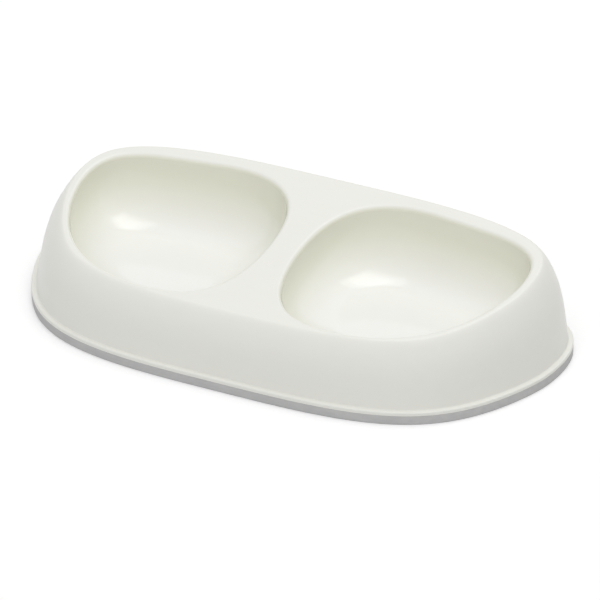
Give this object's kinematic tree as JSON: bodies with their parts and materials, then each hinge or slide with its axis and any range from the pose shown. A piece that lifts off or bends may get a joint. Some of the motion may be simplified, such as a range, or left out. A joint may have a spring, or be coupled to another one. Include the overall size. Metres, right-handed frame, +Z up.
{
  "type": "double pet bowl",
  "caption": "Low double pet bowl: two rounded basins side by side in a sloping deck, with a flared side wall and a soft grip ring round the foot.",
  "frame": {"origin": "middle of the grip ring's underside, on the table", "axes": "+X along the bowl's length to the right basin, +Y to the higher back edge, +Z up from the table"},
  "size_m": [0.3, 0.156, 0.0578],
  "materials": {
    "moulded_plastic": "smooth glossy off-white",
    "soft_grip": "matte light grey"
  },
  "bodies": {
    "root": {"bowl_body": "moulded_plastic", "grip_ring": "soft_grip"}
  },
  "joints": []
}
